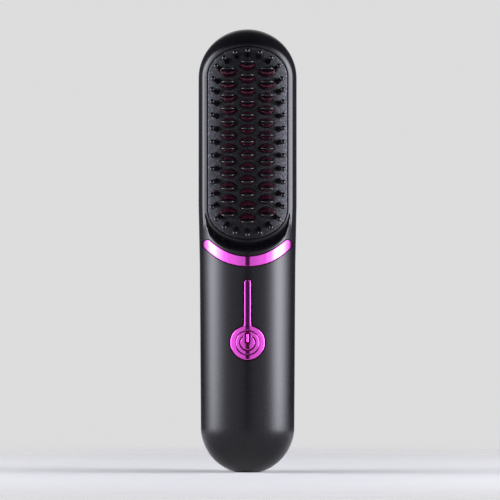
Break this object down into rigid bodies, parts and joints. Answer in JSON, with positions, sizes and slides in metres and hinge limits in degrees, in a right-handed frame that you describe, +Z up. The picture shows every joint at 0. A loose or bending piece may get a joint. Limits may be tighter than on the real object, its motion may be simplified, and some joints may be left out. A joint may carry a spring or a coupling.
{
  "type": "cordless heated comb brush",
  "caption": "Cordless hot comb for straightening hair: round handle with a push button, and a head with rows of heated fins ringed by guard pins.",
  "frame": {"origin": "centre of the flat foot, at the mouth of the charging port", "axes": "+Z up along the body, -Y out of the comb face and the button, +X to the right as the comb is looked at"},
  "size_m": [0.0448, 0.0471, 0.202],
  "materials": {
    "shell_plastic": "fine satin moulding, soft sheen",
    "comb_plastic": "fine sparkle texture, heat-resistant",
    "heater_metal": "dark red gloss coating on cast aluminium",
    "cap_plastic": "high gloss, heat-insulating",
    "trim_plated": "magenta plated, mirror gloss",
    "screw_steel": "zinc plated",
    "contact_brass": "bare sheet",
    "strip_nickel": "bare nickel strip",
    "heater_ceramic": "matt fired ceramic",
    "mica_sheet": "matt sheet",
    "board_green": "solder-masked board",
    "chip_black": "moulded",
    "coil_grey": "moulded ferrite",
    "plug_white": "moulded nylon",
    "tray_white": "moulded",
    "cell_wrap": "shrink-wrapped steel can",
    "felt_white": "needled fibre felt",
    "sensor_amber": "glass bead",
    "lead_cover": "silicone covering",
    "light_lens": "diffusing"
  },
  "bodies": {
    "body": {"front_shell": "shell_plastic", "rear_shell": "shell_plastic", "comb_plate": "comb_plastic", "heater_plate": "heater_metal", "fin_caps": "cap_plastic", "electrode_plates": "contact_brass", "heating_tiles": "heater_ceramic", "heater_insulator": "mica_sheet", "heater_clamp": "screw_steel", "heater_screws": "screw_steel", "comb_screws": "screw_steel", "thermistor": "sensor_amber", "thermal_fuse": "plug_white", "heat_shield": "chip_black", "insulating_felt": "felt_white", "arc_trim": "trim_plated", "keyhole_trim": "trim_plated", "tact_switch": "chip_black", "main_board": "board_green", "control_chip": "chip_black", "power_transistors": "chip_black", "charge_coil": "coil_grey", "wire_connectors": "plug_white", "status_light": "light_lens", "board_screws": "screw_steel", "battery_cells": "cell_wrap", "cell_strips": "strip_nickel", "protection_board": "board_green", "cell_tray": "tray_white", "charge_board": "board_green", "charge_socket": "screw_steel", "shell_screws": "screw_steel", "heater_leads": "lead_cover", "sensor_lead": "lead_cover", "battery_leads": "lead_cover", "charge_leads": "lead_cover"},
    "button": {"power_button": "trim_plated"},
    "plunger": {"switch_plunger": "plug_white"}
  },
  "joints": [
    {"name": "button_press", "type": "slide", "parent": "body", "child": "button", "axis": [0, 1, 0], "range_m": [0, 0.0003], "stiffness_N_per_m": 1500, "springref_m": -0.0003},
    {"name": "plunger_press", "type": "slide", "parent": "body", "child": "plunger", "axis": [0, 1, 0], "range_m": [0, 0.0003]}
  ],
  "couplings": [
    {"joint": "plunger_press", "follows": "button_press", "ratio": 1}
  ]
}
